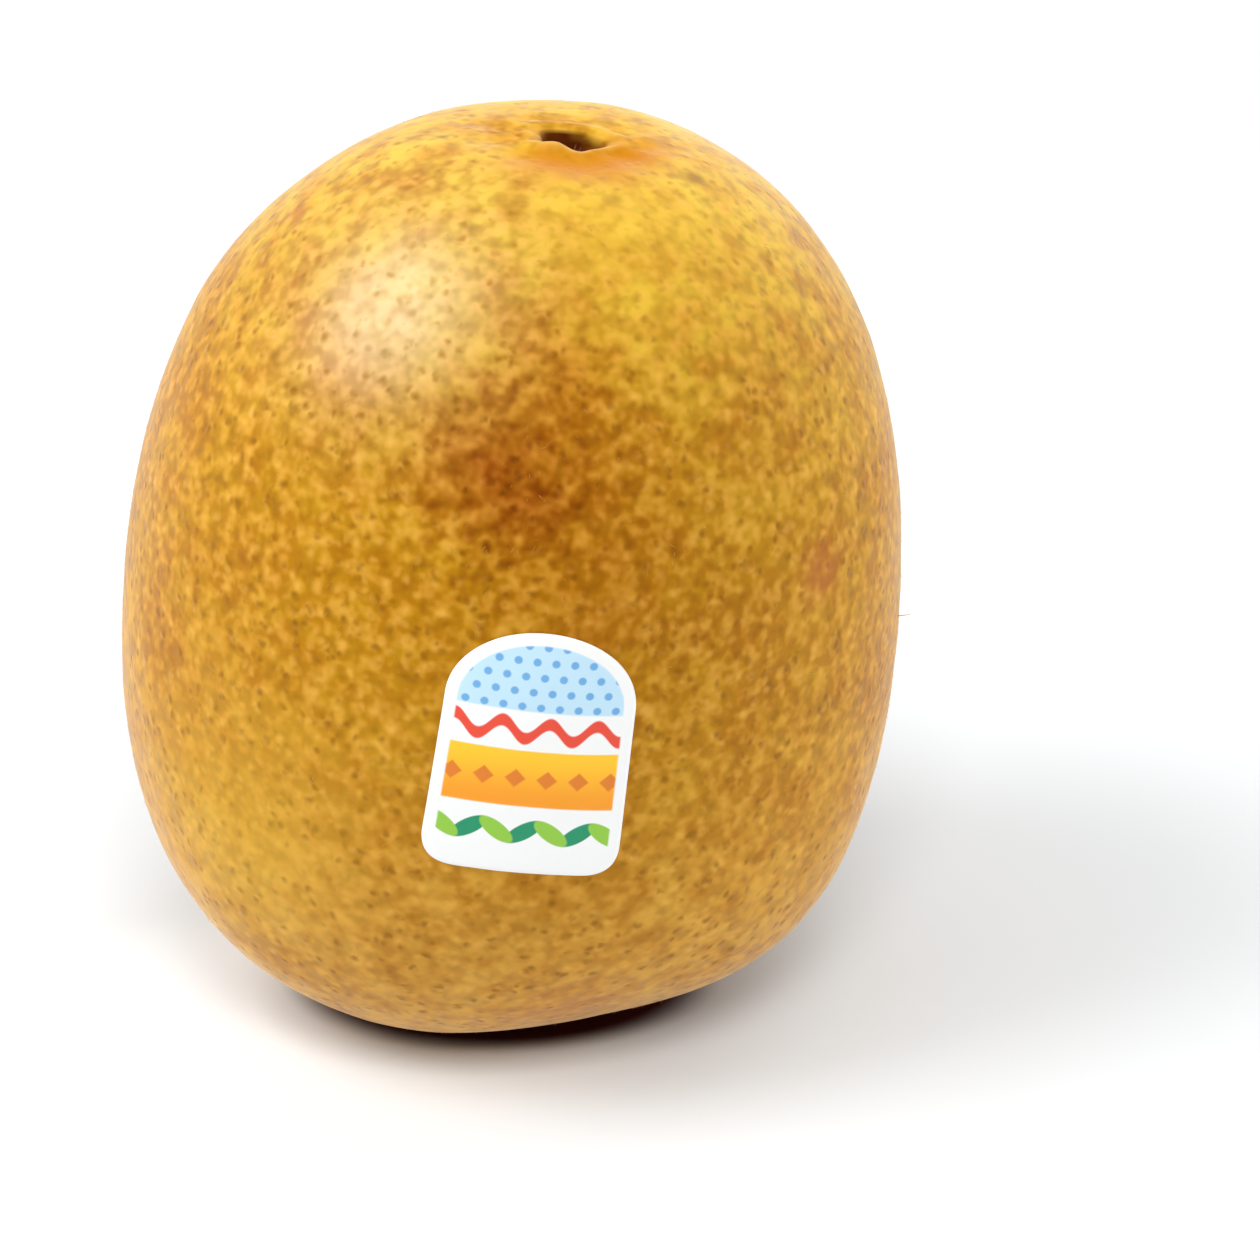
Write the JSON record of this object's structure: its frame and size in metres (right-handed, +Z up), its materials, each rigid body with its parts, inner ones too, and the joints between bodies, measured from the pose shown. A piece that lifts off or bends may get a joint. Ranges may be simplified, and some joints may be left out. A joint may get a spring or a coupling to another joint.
{
  "type": "golden kiwi fruit",
  "caption": "Whole golden kiwi fruit, smooth-skinned and egg-shaped, standing slightly leaning on its blossom end, with an arched paper label on its front.",
  "frame": {"origin": "on the surface that the fruit stands on, under the middle of the whole part's box", "axes": "+Z up through the leaning fruit towards its stem end, which leans towards +X; -Y out through the label on its front"},
  "size_m": [0.0562, 0.054, 0.0672],
  "materials": {
    "skin": "golden brown fruit skin with fine brown specks and a soft waxy sheen",
    "label_paper": "thin white label with a coloured print, slightly glossy"
  },
  "bodies": {
    "root": {"fruit": "skin", "label": "label_paper"}
  },
  "joints": []
}
